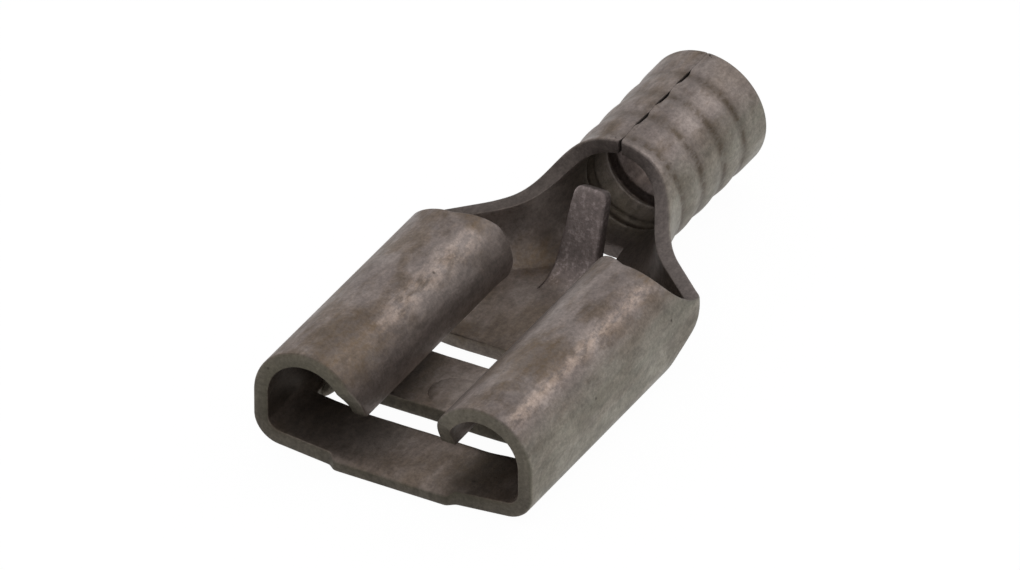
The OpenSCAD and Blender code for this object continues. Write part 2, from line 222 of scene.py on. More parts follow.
class Section:
    """Half of the strip's section at stations y: floor, slope, heel, wall, roll, curl, free leg.

    The two rolls are not quite alike: side is below nought for the left one.
    """

    def __init__(self, y, side):
        curl = np.where(np.asarray(side) < 0, CURL_LEFT, CURL_RIGHT)
        blend = smooth((y - CHANNEL) / (BARREL_Y - CHANNEL))
        soft = smooth((y - SOFT_Y) / SOFT_L)
        self.w = half_width(y)
        self.bottom = BARREL_BOTTOM * smooth((y - TAB_Y) / (BARREL_Y - TAB_Y))
        self.heel = HEEL_R + (BARREL_R - HEEL_R) * soft
        self.tilt = SIDE_SLOPE * (1 - blend)
        self.level = (self.w - self.heel) * FLOOR_SHARE
        self.ease = FLOOR_EASE + EASE_MORE * smooth((y - EASE_Y) / EASE_L)
        slope = (self.w - self.heel + self.heel * np.sin(self.tilt) - self.level) / np.cos(self.tilt)
        self.heel_z = self.bottom + slope * np.sin(self.tilt) + self.heel * np.cos(self.tilt)
        self.roll = ROLL_R + (BARREL_R - ROLL_R) * blend
        self.roll_z = np.maximum(self.heel_z, ROLL_Z + (BARREL_Z - ROLL_Z) * blend)
        self.curl = curl + (BARREL_R - curl) * blend
        self.heel_s = self.level + slope
        self.wall_s = self.heel_s + self.heel * (math.pi / 2 - self.tilt)
        self.roll_s = self.wall_s + self.roll_z - self.heel_z
        self.curl_s = self.roll_s + self.roll * math.pi / 2
        self.leg_s = self.curl_s + self.curl * math.pi / 2

    def place(self, s):
        """X and Z of the outer skin at a distance s from the middle."""
        heel_turn = self.tilt - math.pi / 2 + (s - self.heel_s) / self.heel
        roll_turn = (s - self.roll_s) / self.roll
        curl_turn = math.pi / 2 + (s - self.curl_s) / self.curl
        past = np.maximum(0, s - self.level + self.ease)
        eased = np.where(past < 2 * self.ease, past**2 / (4 * self.ease), s - self.level)
        eased = eased * np.sin(self.tilt)
        roll_x = self.w - self.roll
        curl_z = self.roll_z + self.roll - self.curl
        where = [
            s <= self.level,
            s <= self.heel_s,
            s <= self.wall_s,
            s <= self.roll_s,
            s <= self.curl_s,
            s <= self.leg_s,
        ]
        x = np.select(
            where,
            [
                s,
                self.level + (s - self.level) * np.cos(self.tilt),
                self.w - self.heel + self.heel * np.cos(heel_turn),
                self.w + 0 * s,
                roll_x + self.roll * np.cos(roll_turn),
                roll_x + self.curl * np.cos(curl_turn),
            ],
            roll_x - self.curl,
        )
        z = np.select(
            where,
            [
                self.bottom + eased,
                self.bottom + eased,
                self.heel_z + self.heel * np.sin(heel_turn),
                self.heel_z + s - self.wall_s,
                self.roll_z + self.roll * np.sin(roll_turn),
                curl_z + self.curl * np.sin(curl_turn),
            ],
            curl_z - (s - self.leg_s),
        )
        return x, z


def window_half(y):
    """Half width of the window in the floor, where the stop tab is lanced out."""
    return tongue_half(y) + slit(y)


def tongue_half(y):
    """Half width of the stop tab before it is raised."""
    return TAB_HALF + TAB_TAPER * TAB_H * np.clip(1 - (y - TAB_Y) / WINDOW_L, 0, 1)


def slit(y):
    """Width of the cut between the stop tab and its window, before the tab is raised."""
    return ROOT_GAP + (TAB_GAP - ROOT_GAP) * np.clip((y - TAB_Y) / WINDOW_L, 0, 1)


def raise_tab(s, y):
    """The tongue inside the window, bent up about the middle of its thickness."""
    far = TAB_BEND + SHEET
    middle = TAB_BEND + SHEET / 2
    stand = (TAB_H - far * (1 - math.cos(TAB_TURN)) - SHEET * math.cos(TAB_TURN)) / math.sin(TAB_TURN)
    run = (y - TAB_Y) / TAB_FAR * (middle * TAB_TURN + stand)
    turn = np.minimum(run / middle, TAB_TURN)
    beyond = np.maximum(0.0, run - middle * TAB_TURN)
    py = TAB_Y + far * np.sin(turn) + beyond * np.cos(turn)
    pz = far * (1 - np.cos(turn)) + beyond * np.sin(turn)
    spread = (TAB_HALF + TAB_TAPER * (TAB_H - pz)) / tongue_half(y)
    return np.stack([TAB_X + (s - TAB_X) * (1 + (spread - 1) * smooth(run / TAB_BLEND)), py, pz], -1)


def on_tab(s, y):
    """Which places on the strip belong to the stop tab."""
    between = np.abs(s - TAB_X) < tongue_half(y) + slit(y) / 2
    return (y > TAB_Y) & (y < TAB_Y + WINDOW_L - TAB_GAP / 2) & between


def outer_skin(s, y):
    """Points of the strip's outer skin, in mm."""
    s = np.asarray(s, float)
    y = np.asarray(y, float)
    x, z = Section(y, s).place(np.abs(s))
    ramp = 1 - smooth((x - SPRING_TOP) / (SLOT_HALF - SPRING_TOP))
    between = (y > SLOT_Y + FRONT_SLOT / 2) & (y < SLOTS_END - REAR_SLOT / 2)
    spring = between & (x < SLOT_HALF) & (z < FLOOR_TOP)
    z = np.where(spring, z + (SPRING_RISE - z) * ramp, z)
    near = np.sqrt(x**2 + (y - DETENT_Y) ** 2) / DETENT_R
    bump = DETENT_H * (1 - near**2) * smooth((DETENT_REACH - near) / DETENT_FADE)
    z = np.where(spring, z + bump, z)
    p = np.stack([np.where(s < 0, -x, x), y, z], -1)
    return np.where(on_tab(s, y)[..., None], raise_tab(s, y), p)


def outward(s, y):
    """Unit normals of the outer skin."""
    h = 1e-3
    along = outer_skin(s, y + h) - outer_skin(s, y - h)
    across = outer_skin(s + h, y) - outer_skin(s - h, y)
    n = np.cross(along, across)
    return n / np.linalg.norm(n, axis=-1, keepdims=True)


def sheet_at(s, y):
    """Thickness of the strip: coined thin along the lip."""
    coin = COIN_D * np.clip((COIN_L - LIP_OUT - y) / COIN_L, 0, 1) ** 2
    return SHEET - coin * smooth((FLAT_HALF + COIN_FADE / 2 - np.abs(s)) / COIN_FADE)


def skin(s, y, depth):
    """Points at a depth below the outer skin."""
    return outer_skin(s, y) - outward(s, y) * np.asarray(depth)[..., None]


# ---------------------------------------------------------------- the flat blank's outline


def s_on_curl(z, y, side):
    """Place on the curl or its free leg at a height."""
    part = Section(y, side)
    above = z - BODY_H + part.curl
    high = np.clip(above / part.curl, 0, 1)
    return np.where(above > 0, part.leg_s - part.curl * np.arcsin(high), part.leg_s - above)


def s_on_side(z, y, gap):
    """Place on the wall or the outer half of the roll at a height, stopped at the seam's gap."""
    part = Section(y, 1)
    rise = np.clip((z - part.roll_z) / part.roll, 0, 1)
    closed = np.arccos(np.clip((gap - part.w + part.roll) / part.roll, 0, 1))
    return part.roll_s + part.roll * np.minimum(np.arcsin(rise), closed)


def s_at_x(x, y):
    """Place on the floor or the heel at a distance from the middle plane."""
    s = np.linspace(0, FLOOR_REACH, 900)
    across, _ = Section(np.full_like(s, y), 1).place(s)
    return float(np.interp(x, across, s))


def cut_edge(y):
    """Height of the cut edge behind the scoop; past the seam's start only the gap stops it."""
    rising = EDGE_Z + EDGE_SLOPE * (y - SCOOP_Y) + dip(CLIMB_R, np.maximum(0, y - CLIMB_Y))
    return np.where(y < SEAM_Y, rising, SEAM_Z + 1)


def seam_gape(y):
    """How far the butt seam gapes: open behind each ring, shut between them and at the end."""
    run = y - BARREL_Y - FIRST_RING
    wave = 0.5 + 0.5 * np.cos(2 * math.pi * (run - GAPE_LAG) / RING_PITCH)
    stretch = smooth((run - GAPE_FROM) / GAPE_FADE) * smooth((GAPE_TO - run) / GAPE_FADE)
    return smooth((wave - GAPE_LEVEL) / GAPE_RISE) * stretch


def seam_gap(y):
    """Half width of the butt seam."""
    return SEAM_HALF * (SEAM_SHUT + (1 - SEAM_SHUT) * seam_gape(y))


def waver(points, seed):
    """Slight unevenness that cutting leaves along an outline."""
    run = points[:, 0] + CUT_SLANT * points[:, 1] + seed
    return points + sum(size * np.sin(rate * run) for size, rate in CUT_WAVES)[:, None]


def half_outline(side):
    """The blank's outline from the middle of the lip round one side to the wire end."""
    curl = CURL_LEFT if side < 0 else CURL_RIGHT
    curl_x = ROLL_X - curl
    parts = [[(0, -LIP_OUT), (LIP_HALF, -LIP_OUT), (LIP_HALF + LIP_SLANT, 0)]]
    z = np.linspace(FREE_Z + LEAD_H, FREE_Z, 20)
    y = LEAD_BACK * (FREE_Z + LEAD_H - z) / LEAD_H
    parts.append(np.stack([s_on_curl(z, y, side), y], 1))
    tail_y = CHANNEL + TAIL
    turn = np.linspace(-math.pi / 2, 0, 14)
    y = tail_y - TAIL_CORNER + TAIL_CORNER * np.cos(turn)
    parts.append(np.stack([s_on_curl(FREE_Z + TAIL_CORNER * (1 + np.sin(turn)), y, side), y], 1))
    x = np.linspace(curl_x + SHEET, ROLL_X, 16)[:-1]
    waist_y = SCOOP_Y - SCOOP_R
    y = tail_y + (waist_y - tail_y) * (x - x[0]) / (ROLL_X - x[0])
    turn = np.arccos((x - ROLL_X) / curl) - math.pi / 2
    parts.append(np.stack([Section(y, side).curl_s + curl * turn, y], 1))
    turn = np.linspace(math.asin((EDGE_Z + SCOOP_R - BODY_H + SCOOP_SPARE) / SCOOP_R), math.pi / 2, 30)
    y = SCOOP_Y - SCOOP_R * np.cos(turn)
    parts.append(np.stack([s_on_side(EDGE_Z + SCOOP_R * (1 - np.sin(turn)), y, 0), y], 1))
    y = np.linspace(SCOOP_Y, SEAM_Y, 60)[1:]
    parts.append(np.stack([s_on_side(cut_edge(y), y, seam_gap(y)), y], 1))
    y = np.linspace(SEAM_Y, BARREL_END, 160)[1:]
    parts.append(np.stack([s_on_side(cut_edge(y), y, seam_gap(y)), y], 1))
    parts.append([(0, BARREL_END)])
    return np.concatenate([np.asarray(p, float) for p in parts]) * [side, 1]


def resample(points, step):
    """A closed line through the points, at an even step."""
    ring = np.concatenate([points, points[:1]])
    run = np.concatenate([[0], np.cumsum(np.linalg.norm(np.diff(ring, axis=0), axis=1))])
    keep = np.concatenate([[True], np.diff(run) > 1e-9])
    at = np.linspace(0, run[-1], max(8, int(round(run[-1] / step))), endpoint=False)
    return np.stack([np.interp(at, run[keep], ring[keep, i]) for i in (0, 1)], 1)


def soften(points, step, radius):
    """Rounds a closed line's corners over about a radius."""
    n = len(points)
    k = np.minimum(np.arange(n), n - np.arange(n)) * step
    weight = np.exp(-0.5 * (k / radius) ** 2)
    weight /= weight.sum()
    spectrum = np.fft.fft(weight)
    return np.stack([np.real(np.fft.ifft(np.fft.fft(points[:, i]) * spectrum)) for i in (0, 1)], 1)


def ring_line(corners, radius, fine=0.01, step=0.06):
    """A closed line through the corners, which are rounded, at an even step."""
    return resample(soften(resample(np.asarray(corners, float), fine), fine, radius), step)


def blank_rings():
    """The outline and the holes, each with the material on its left."""
    outline = np.concatenate([half_outline(1), half_outline(-1)[::-1][1:-1]])
    rings = [ring_line(outline, OUTLINE_CORNER)]
    for near, far in ((SLOT_Y, SPRING_Y), (SPRING_END, SLOTS_END)):
        side = s_at_x(SLOT_HALF, near)
        corners = [(-side, near), (-side, far), (side, far), (side, near)]
        rings.append(waver(ring_line(corners, SLOT_CORNER), near))
    foot = window_half(TAB_Y)
    tip = window_half(TAB_Y + WINDOW_L)
    round_x = TAB_HALF + TAB_TIP_SPARE - TAB_TIP
    round_y = TAB_Y + TAB_FAR - TAB_TIP
    turns = np.linspace(0, math.pi / 2, 8)
    round_at = [(round_x + TAB_TIP * math.cos(a), round_y + TAB_TIP * math.sin(a)) for a in turns]
    cut = (
        [(-foot, TAB_Y), (-tip, TAB_Y + WINDOW_L), (tip, TAB_Y + WINDOW_L), (foot, TAB_Y)]
        + [(tongue_half(TAB_Y), TAB_Y)]
        + round_at
        + [(-a, b) for a, b in round_at[::-1]]
        + [(-tongue_half(TAB_Y), TAB_Y)]
    )
    rings.append(ring_line(np.asarray(cut) + [TAB_X, 0], TAB_CORNER, fine=0.004, step=0.045))
    return rings


# ---------------------------------------------------------------- the blank's mesh

BATCH = 2000
POINT_GAP = 0.1
FILL_GAP = 0.055
SLOT_MARGIN = 0.2
BLANK_REACH = 9.6
BARREL_REACH = 5.3
BUMP_REACH = 0.8
NECK_FROM = 6.95

def inward(ring):
    """Steps in (s, y) that lead one millimetre into the material, square to the edge."""
    h = 1e-3
    along = np.roll(ring, -1, 0) - np.roll(ring, 1, 0)
    s, y = ring[:, 0], ring[:, 1]
    ps = (outer_skin(s + h, y) - outer_skin(s - h, y)) / (2 * h)
    py = (outer_skin(s, y + h) - outer_skin(s, y - h)) / (2 * h)
    e, f, g = (ps * ps).sum(1), (ps * py).sum(1), (py * py).sum(1)
    a = -(f * along[:, 0] + g * along[:, 1])
    b = e * along[:, 0] + f * along[:, 1]
    size = np.sqrt(e * a * a + 2 * f * a * b + g * b * b)
    return np.stack([a, b], 1) / size[:, None]


def inside(points, ring):
    """Which points lie inside a closed line."""
    a, b = ring, np.roll(ring, -1, 0)
    out = np.zeros(len(points), bool)
    for k in range(0, len(points), BATCH):
        x, y = points[k : k + BATCH, 0:1], points[k : k + BATCH, 1:2]
        cross = (a[:, 1] > y) != (b[:, 1] > y)
        rise = np.where(b[:, 1] == a[:, 1], 1, b[:, 1] - a[:, 1])
        at = a[:, 0] + (y - a[:, 1]) / rise * (b[:, 0] - a[:, 0])
        out[k : k + BATCH] = ((cross & (x < at)).sum(1) % 2) == 1
    return out


def far_from(points, others, gap):
    """Which points keep a gap from all the others."""
    out = np.ones(len(points), bool)
    for k in range(0, len(points), BATCH):
        d = points[k : k + BATCH, None, :] - others[None, :, :]
        out[k : k + BATCH] = (d * d).sum(-1).min(1) > gap * gap
    return out


def grid(s0, s1, y0, y1, ds, dy):
    """Rows of points, every other row shifted by half a step."""
    rows = np.arange(y0, y1, dy)
    columns = np.arange(s0, s1 + ds, ds)
    s, y = np.meshgrid(columns, rows)
    s = s + (np.arange(len(rows)) % 2)[:, None] * ds / 2
    return np.stack([s.ravel(), y.ravel()], 1)


def blank_points():
    """Points that fill the blank, closer together where it is bent or pressed."""
    end = BARREL_END - 0.02
    bump_from, bump_to = DETENT_Y - BUMP_REACH, DETENT_Y + BUMP_REACH
    wide = grid(-BLANK_REACH, BLANK_REACH, -0.1, NECK_FROM - 0.05, POINT_GAP, 0.12)
    neck = grid(-BLANK_REACH, BLANK_REACH, NECK_FROM, BARREL_Y - 0.02, POINT_GAP, 0.085)
    barrel = grid(-BARREL_REACH, BARREL_REACH, BARREL_Y, end, POINT_GAP, 0.048)
    bump = grid(-BUMP_REACH, BUMP_REACH, bump_from, bump_to, POINT_GAP / 2, 0.045)
    clear = BUMP_REACH + POINT_GAP / 2
    off_bump = (np.abs(wide[:, 0]) > clear) | (np.abs(wide[:, 1] - DETENT_Y) > clear)
    return np.concatenate([wide[off_bump], neck, barrel, bump])


def painted_highlight_line(s, y):
    """Painted highlight: lines along the rolls where the light catches them, stronger on the right roll."""
    part = Section(y, s)
    right = (s - part.roll_s - part.roll * 1.02) / 0.12
    left = (-s - part.curl_s - part.curl * 0.6) / 0.22
    line = np.exp(-0.5 * right**2) + 0.6 * np.exp(-0.5 * left**2)
    return line * smooth((7.3 - y) / 0.6) * smooth(y / 0.5)


REAR_SLOT_SHADE = 0.55
TURNED_IN_SHADE = 0.3
# How much of the painted side reflection the left side gets.
LEFT_REFLECTION = 0.7


def hollow_shade(s, y):
    """Painted shade inside: in the left roll, beside the floor on the right, and on the right of the neck.
    """
    left_roll = smooth((-s - 3.3) / 1.1)
    before_neck = smooth((8.2 - y) / 1.5)
    right_side = smooth((s - 1.0) / 0.8)
    right_roll = smooth((s - 2.1) / 0.9) * smooth(8 - y)
    before_barrel = smooth((10.4 - y) / 1.5)
    return left_roll * before_neck + 0.85 * right_side * (1 - 0.9 * right_roll) * before_barrel


def masks_at(s, y, is_cut, is_inner):
    """What the finish has to know of places on the strip, by name."""
    facing = outward(s, y) * (1 - 2 * is_inner)
    at_rear_slot = (y > SPRING_END - POINT_GAP) & (y < SLOTS_END + POINT_GAP)
    behind_spring = (np.abs(s) < SLOT_HALF + SLOT_MARGIN) & at_rear_slot
    turned_in = smooth((-facing[:, 0] * np.sign(s) - 0.45) / 0.4)
    return {
        "cut_edge": is_cut * (1 - REAR_SLOT_SHADE * behind_spring),
        "inner_face": np.full(len(s), float(is_inner)),
        "tongue": on_tab(s, y) * smooth((y - TAB_Y) / 0.7) * is_inner,
        "upward": facing[:, 2],
        # Painted reflection on the outer skin where it faces across.
        "flank": facing[:, 0] * np.where(s < 0, -LEFT_REFLECTION, 1) * (1 - is_inner),
        # Painted highlight along the rolls.
        "painted_highlight": painted_highlight_line(s, y) * (is_inner == 0),
        # Painted shade in the hollows and on the rolls' turned-in undersides.
        "painted_shade": is_inner * hollow_shade(s, y) + TURNED_IN_SHADE * (1 - is_inner) * turned_in,
    }


def edge_roundings(ring):
    """Radii of the outer and the inner edge along a ring.

    They are small where the seam is shut and along the rear slot's far edge, and large on the
    stop tab and at the wire end.
    """
    s, y = ring.T
    end = smooth((y - BARREL_END + 0.03) / 0.02)
    seam = smooth((y - SEAM_Y) / 0.15) * (1 - end)
    shut = seam * (1 - seam_gape(y))
    tab = on_tab(s, y) * smooth((y - TAB_Y) / 0.4)
    rear = (np.abs(s) < SLOT_HALF + SLOT_MARGIN) & (np.abs(y - SLOTS_END) < 0.3)
    outer = OUTER_EDGE + 0.01 * end - 0.042 * shut + 0.03 * tab
    inner = INNER_EDGE + 0.085 * end + 0.045 * tab - 0.02 * rear
    return outer, inner


class Shell:
    """The strip's skin as it is built: points, their masks, and faces between them."""

    def __init__(self):
        self.points, self.masks, self.faces = [], [], []
        self.count = 0

    def add(self, at, depth, is_cut, is_inner):
        """Points at a depth below places on the blank; gives their numbers."""
        s, y = at[:, 0], at[:, 1]
        self.points.append(skin(s, y, depth))
        self.masks.append(masks_at(s, y, is_cut, is_inner))
        first = self.count
        self.count += len(at)
        return np.arange(first, self.count)

    def bridge(self, rows, outer=False):
        """Faces between closed rows of points; those of the outer edge turn the other way."""
        for a, b in zip(rows[:-1], rows[1:]):
            next_a, next_b = np.roll(a, -1), np.roll(b, -1)
            self.faces.append(np.stack([a, b, next_b, next_a] if outer else [a, next_a, next_b, b], 1))

    def edge(self, ring):
        """The rounded cut edge along a ring.

        Gives the line where its band ends, and that line's numbers on the outer and inner skin.
        """
        step = inward(ring)
        radii = edge_roundings(ring)
        strips = []
        for on_inner, r in enumerate(radii):
            rows = []
            for i, turn in enumerate(EDGE_TURNS):
                at = ring + step * (r * (1 - math.cos(turn)))[:, None]
                depth = r * (1 - math.sin(turn))
                if on_inner:
                    depth = sheet_at(at[:, 0], at[:, 1]) - depth
                rows.append(self.add(at, depth, 1 - i / (len(EDGE_TURNS) - 1), on_inner))
            at = ring + step * EDGE_BAND
            depth = sheet_at(at[:, 0], at[:, 1]) if on_inner else np.zeros(len(at))
            rows.append(self.add(at, depth, 0, on_inner))
            strips.append(rows)
        low = radii[0]
        high = sheet_at(ring[:, 0], ring[:, 1]) - radii[1]
        middle = [self.add(ring, low + (high - low) * share, 1, share) for share in WALL_SHARES]
        self.bridge([strips[0][0], *middle, strips[1][0]])
        self.bridge(strips[1])
        self.bridge(strips[0], outer=True)
        return at, strips[0][-1], strips[1][-1]


def within_blank(points, rings):
    """Which points lie inside the outline and outside every hole."""
    keep = inside(points, rings[0])
    for hole in rings[1:]:
        keep &= ~inside(points, hole)
    return keep


def triangles_between(rings, fill):
    """Triangles over the blank from its rings and the points between them, all facing one way."""
    points, edges, start = [], [], 0
    for ring in rings:
        n = len(ring)
        points.extend(Vector(p) for p in ring)
        edges.extend((start + i, start + (i + 1) % n) for i in range(n))
        start += n
    points.extend(Vector(p) for p in fill)
    got = delaunay_2d_cdt(points, edges, [], 0, 1e-7)
    source = np.array([o[0] if o else -1 for o in got[3]])
    triangles = source[np.array(got[2])]
    flat = np.concatenate(rings + [fill])
    known = (triangles >= 0).all(1)
    triangles = triangles[within_blank(flat[triangles].mean(1), rings) & known]
    a, b, c = (flat[triangles[:, i]] for i in range(3))
    clockwise = np.cross(b - a, c - a) < 0
    triangles[clockwise] = triangles[clockwise][:, ::-1]
    return triangles


def fold_blank():
    """Points, faces and masks of the folded strip."""
    shell = Shell()
    lines, outer_ids, inner_ids = (list(part) for part in zip(*map(shell.edge, blank_rings())))
    fill = blank_points()
    fill = fill[within_blank(fill, lines)]
    fill = fill[far_from(fill, np.concatenate(lines), FILL_GAP)]
    depth = sheet_at(fill[:, 0], fill[:, 1])
    outer_ids = np.concatenate(outer_ids + [shell.add(fill, 0 * depth, 0, 0)])
    inner_ids = np.concatenate(inner_ids + [shell.add(fill, depth, 0, 1)])
    triangles = triangles_between(lines, fill)
    shell.faces.append(inner_ids[triangles])
    shell.faces.append(outer_ids[triangles][:, ::-1])
    masks = {name: np.concatenate([part[name] for part in shell.masks]) for name in shell.masks[0]}
    return np.concatenate(shell.points), shell.faces, masks


def make_mesh(name, verts, face_sets):
    """A mesh in metres from points in mm."""
    mesh = bpy.data.meshes.new(name)
    loops = np.concatenate([f.ravel() for f in face_sets])
    sizes = np.concatenate([np.full(len(f), f.shape[1]) for f in face_sets])
    mesh.vertices.add(len(verts))
    mesh.vertices.foreach_set("co", (verts * MM).ravel())
    mesh.loops.add(len(loops))
    mesh.loops.foreach_set("vertex_index", loops)
    mesh.polygons.add(len(sizes))
    mesh.polygons.foreach_set("loop_start", np.concatenate([[0], np.cumsum(sizes)[:-1]]))
    mesh.update(calc_edges=True)
    mesh.validate()
    return mesh


verts, face_sets, masks = fold_blank()
mesh = make_mesh("folded_strip", verts, face_sets)
for name, values in masks.items():
    mesh.attributes.new(name, "FLOAT", "POINT").data.foreach_set("value", values)
mesh.shade_smooth()
strip = bpy.data.objects.new("folded_strip", mesh)
bpy.context.scene.collection.objects.link(strip)

# ---------------------------------------------------------------- node trees


class Wiring:
    """A node tree with short ways to add and join its nodes."""

    def __init__(self, tree):
        self.tree = tree
        self.nodes = tree.nodes
        self.links = tree.links

    def put(self, value, socket):
        """Joins an output to a socket, or sets the socket to a plain value."""
        if isinstance(value, bpy.types.NodeSocket):
            self.links.new(value, socket)
        else:
            socket.default_value = value

    def node(self, kind, *values, **settings):
        """A node with its settings, and its first inputs filled in order."""
        made = self.nodes.new(kind)
        for name, value in settings.items():
            setattr(made, name, value)
        for value, socket in zip(values, made.inputs):
            self.put(value, socket)
        return made

    def math(self, operation, *values):
        return self.node("ShaderNodeMath", *values, operation=operation).outputs[0]

    def scaled(self, value, share):
        return self.math("MULTIPLY", value, share)

    def ramp(self, value, low, high):
        """Soft step from 0 at low to 1 at high."""
        return self.node("ShaderNodeMapRange", value, low, high, interpolation_type="SMOOTHSTEP").outputs[0]

    def ramp_mm(self, value, low, high):
        """The same along an axis of the object, with low and high in mm."""
        return self.ramp(value, low * MM, high * MM)

    def spread(self, value, low, high):
        """A value between 0 and 1 spread evenly between low and high."""
        return self.node("ShaderNodeMapRange", value, 0.0, 1.0, low, high).outputs[0]

    def tint(self, share, first, second, blend="MIX"):
        """A mix of two colours, each a socket or plain red, green and blue."""
        made = self.node("ShaderNodeMix", data_type="RGBA", blend_type=blend)
        self.put(share, made.inputs["Factor"])
        for name, value in (("A", first), ("B", second)):
            socket = [k for k in made.inputs if k.name == name and k.type == "RGBA"][0]
            self.put(value if isinstance(value, bpy.types.NodeSocket) else (*value, 1), socket)
        return [k for k in made.outputs if k.type == "RGBA"][0]

    def noise(self, vector, scale, detail, rough, offset=0.0):
        made = self.node("ShaderNodeTexNoise", noise_dimensions="4D")
        given = {"Vector": vector, "W": offset, "Scale": scale, "Detail": detail, "Roughness": rough}
        for name, value in given.items():
            self.put(value, made.inputs[name])
        return made.outputs[0]

    def attribute(self, name):
        return self.node("ShaderNodeAttribute", attribute_name=name).outputs["Fac"]


def new_group(kind, name, inputs, outputs):
    """An empty group: its wiring, its inputs by name and its output node's inputs by name."""
    tree = bpy.data.node_groups.new(name, kind)
    for way, sockets in (("INPUT", inputs), ("OUTPUT", outputs)):
        for socket_name, socket_kind in sockets:
            tree.interface.new_socket(socket_name, in_out=way, socket_type="NodeSocket" + socket_kind)
    wiring = Wiring(tree)
    return wiring, wiring.node("NodeGroupInput").outputs, wiring.node("NodeGroupOutput").inputs


# ---------------------------------------------------------------- serrations of the wire barrel


def press_serrations_tree(material):
    """Presses rings into the bore, and the soft waves that they leave outside.

    It keeps how deep each point lies in a crease as the attribute valley, for the painted shade in the
    creases.
    """
    sizes = ("First ring", "Pitch", "Last ring", "Ring radius", "Ring depth", "Wave depth", "Axis height")
    inputs = [("Geometry", "Geometry")] + [(name, "Float") for name in sizes]
    go, given, ready = new_group("GeometryNodeTree", "press_serrations", inputs, [("Geometry", "Geometry")])
    math_of = go.math
    x, y, z = go.node("ShaderNodeSeparateXYZ", go.node("GeometryNodeInputPosition").outputs[0]).outputs
    inner_share = go.node("GeometryNodeInputNamedAttribute", "inner_face", data_type="FLOAT").outputs[0]

    held = math_of("MINIMUM", math_of("MAXIMUM", y, given["First ring"]), given["Last ring"])
    phase = math_of("SUBTRACT", held, given["First ring"])
    count = math_of("ROUND", math_of("DIVIDE", phase, given["Pitch"]))
    run = math_of("SUBTRACT", y, given["First ring"])
    off = math_of("ABSOLUTE", math_of("SUBTRACT", run, math_of("MULTIPLY", count, given["Pitch"])))
    square = math_of("SUBTRACT", math_of("POWER", given["Ring radius"], 2.0), math_of("POWER", off, 2.0))
    root = math_of("SQRT", math_of("MAXIMUM", square, 0.0))
    cut_in = math_of("ADD", math_of("SUBTRACT", root, given["Ring radius"]), given["Ring depth"])
    groove = math_of("MAXIMUM", cut_in, 0.0)
    turn = math_of("MULTIPLY", math_of("DIVIDE", off, given["Pitch"]), 2 * math.pi)
    fade = go.ramp(off, go.scaled(given["Pitch"], 0.9), go.scaled(given["Pitch"], 0.5))
    swing = go.scaled(math_of("SUBTRACT", 1.0, math_of("COSINE", turn)), 0.5)
    valley = math_of("MULTIPLY", swing, fade)
    outer_share = math_of("SUBTRACT", 1.0, inner_share)
    wave = math_of("MULTIPLY", math_of("MULTIPLY", valley, given["Wave depth"]), outer_share)
    in_groove = math_of("MULTIPLY", math_of("DIVIDE", groove, given["Ring depth"]), inner_share)
    darkened = math_of("MULTIPLY_ADD", valley, outer_share, in_groove)
    push = math_of("SUBTRACT", math_of("MULTIPLY", groove, inner_share), wave)
    lift = math_of("SUBTRACT", z, given["Axis height"])
    reach = math_of("SQRT", math_of("ADD", math_of("POWER", x, 2.0), math_of("POWER", lift, 2.0)))
    share = math_of("DIVIDE", push, reach)
    moved_x, moved_z = math_of("MULTIPLY", x, share), math_of("MULTIPLY", lift, share)
    offset = go.node("ShaderNodeCombineXYZ", moved_x, 0.0, moved_z)
    start = math_of("SUBTRACT", given["First ring"], go.scaled(given["Pitch"], 0.95))
    near = math_of("GREATER_THAN", y, start)

    keep = go.node("GeometryNodeStoreNamedAttribute", given["Geometry"], data_type="FLOAT")
    keep.inputs["Name"].default_value = "valley"
    go.put(near, keep.inputs["Selection"])
    go.put(darkened, keep.inputs["Value"])
    move = go.node("GeometryNodeSetPosition", keep.outputs[0], near)
    go.put(offset.outputs[0], move.inputs["Offset"])
    real = go.node("GeometryNodeRealizeInstances", move.outputs[0])
    finish = go.node("GeometryNodeSetMaterial", real.outputs[0])
    finish.inputs["Material"].default_value = material
    go.put(finish.outputs[0], ready[0])
    return go.tree


def apply_tree(obj, tree, values):
    """Runs a tree on a piece once and keeps the result as its mesh."""
    modifier = obj.modifiers.new(tree.name, "NODES")
    modifier.node_group = tree
    for socket in tree.interface.items_tree:
        if socket.in_out == "INPUT" and socket.name in values:
            modifier[socket.identifier] = float(values[socket.name])
    ready = obj.evaluated_get(bpy.context.evaluated_depsgraph_get())
    result = bpy.data.meshes.new_from_object(ready)
    obj.modifiers.remove(modifier)
    old = obj.data
    obj.data = result
    bpy.data.meshes.remove(old)


# ---------------------------------------------------------------- finish of the metal

# Patterns to the metre, and how they are drawn out along the strip.
PATTERNS = {"Blotches": 620.0, "Streaks": 3400.0, "Grain": 11000.0}
RAGGED = 3200.0
STREAK_STRETCH = (1, 0.14, 1)
BROWN_STRETCH = (1, 0.45, 1)

# Tones of the metal, each as linear red, green and blue.
PLATING = ((0.248, 0.206, 0.190), (0.310, 0.263, 0.243))
# Painted reflection: greenish grey on the sides that face across.
GREEN_REFLECTION = ((0.236, 0.221, 0.182), (0.296, 0.279, 0.232))
BROWN_FILM = (0.170, 0.124, 0.086)
STREAK = (0.390, 0.320, 0.285)
# Painted highlight along the rolls.
HIGHLIGHT_TONE = (0.510, 0.392, 0.322)
INSIDE_MOUTH = (0.215, 0.168, 0.132)
# Inside the neck, left and right: the darker right is painted shade.
INSIDE_NECK = ((0.270, 0.222, 0.196), (0.120, 0.096, 0.080))
INSIDE_BARREL = (0.240, 0.214, 0.156)
# Painted shade deep in the bore.
DEEP_BORE_SHADE = (0.120, 0.090, 0.088)
# Painted light for the pale spots.
PAINTED_LIGHT_TONE = (0.370, 0.316, 0.288)
STAIN = (0.160, 0.116, 0.080)
